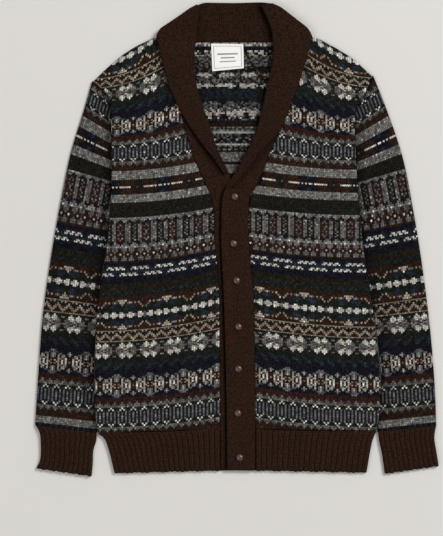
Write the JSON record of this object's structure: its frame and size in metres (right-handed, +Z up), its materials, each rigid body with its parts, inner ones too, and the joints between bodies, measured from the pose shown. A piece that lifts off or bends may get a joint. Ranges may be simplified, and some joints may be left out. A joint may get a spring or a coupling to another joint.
{
  "type": "shawl collar cardigan",
  "caption": "Patterned knitted cardigan with a folded shawl collar, domed buttons and ribbed hem and cuffs, laid flat and fastened.",
  "frame": {"origin": "centre of the footprint on the surface that the cardigan lies on", "axes": "+Z up out of the face of the garment, +Y from hem to collar, +X to the wearer's left"},
  "size_m": [0.665, 0.7805, 0.0141],
  "materials": {
    "patterned_knit": "wool knit in stranded colour bands",
    "brown_rib": "wool rib",
    "brown_knit": "close wool knit",
    "button": "polished dome",
    "label": "woven satin"
  },
  "bodies": {
    "root": {"back": "patterned_knit", "front_left": "patterned_knit", "front_right": "patterned_knit", "sleeve_left": "patterned_knit", "sleeve_right": "patterned_knit", "hem_back": "brown_rib", "hem_left": "brown_rib", "hem_right": "brown_rib", "cuff_left": "brown_rib", "cuff_right": "brown_rib", "band_left": "brown_knit", "band_right": "brown_knit", "collar_left": "brown_knit", "collar_right": "brown_knit", "collar_back": "brown_knit", "button_1": "button", "button_2": "button", "button_3": "button", "button_4": "button", "button_5": "button", "button_6": "button", "button_7": "button", "label": "label"}
  },
  "joints": []
}
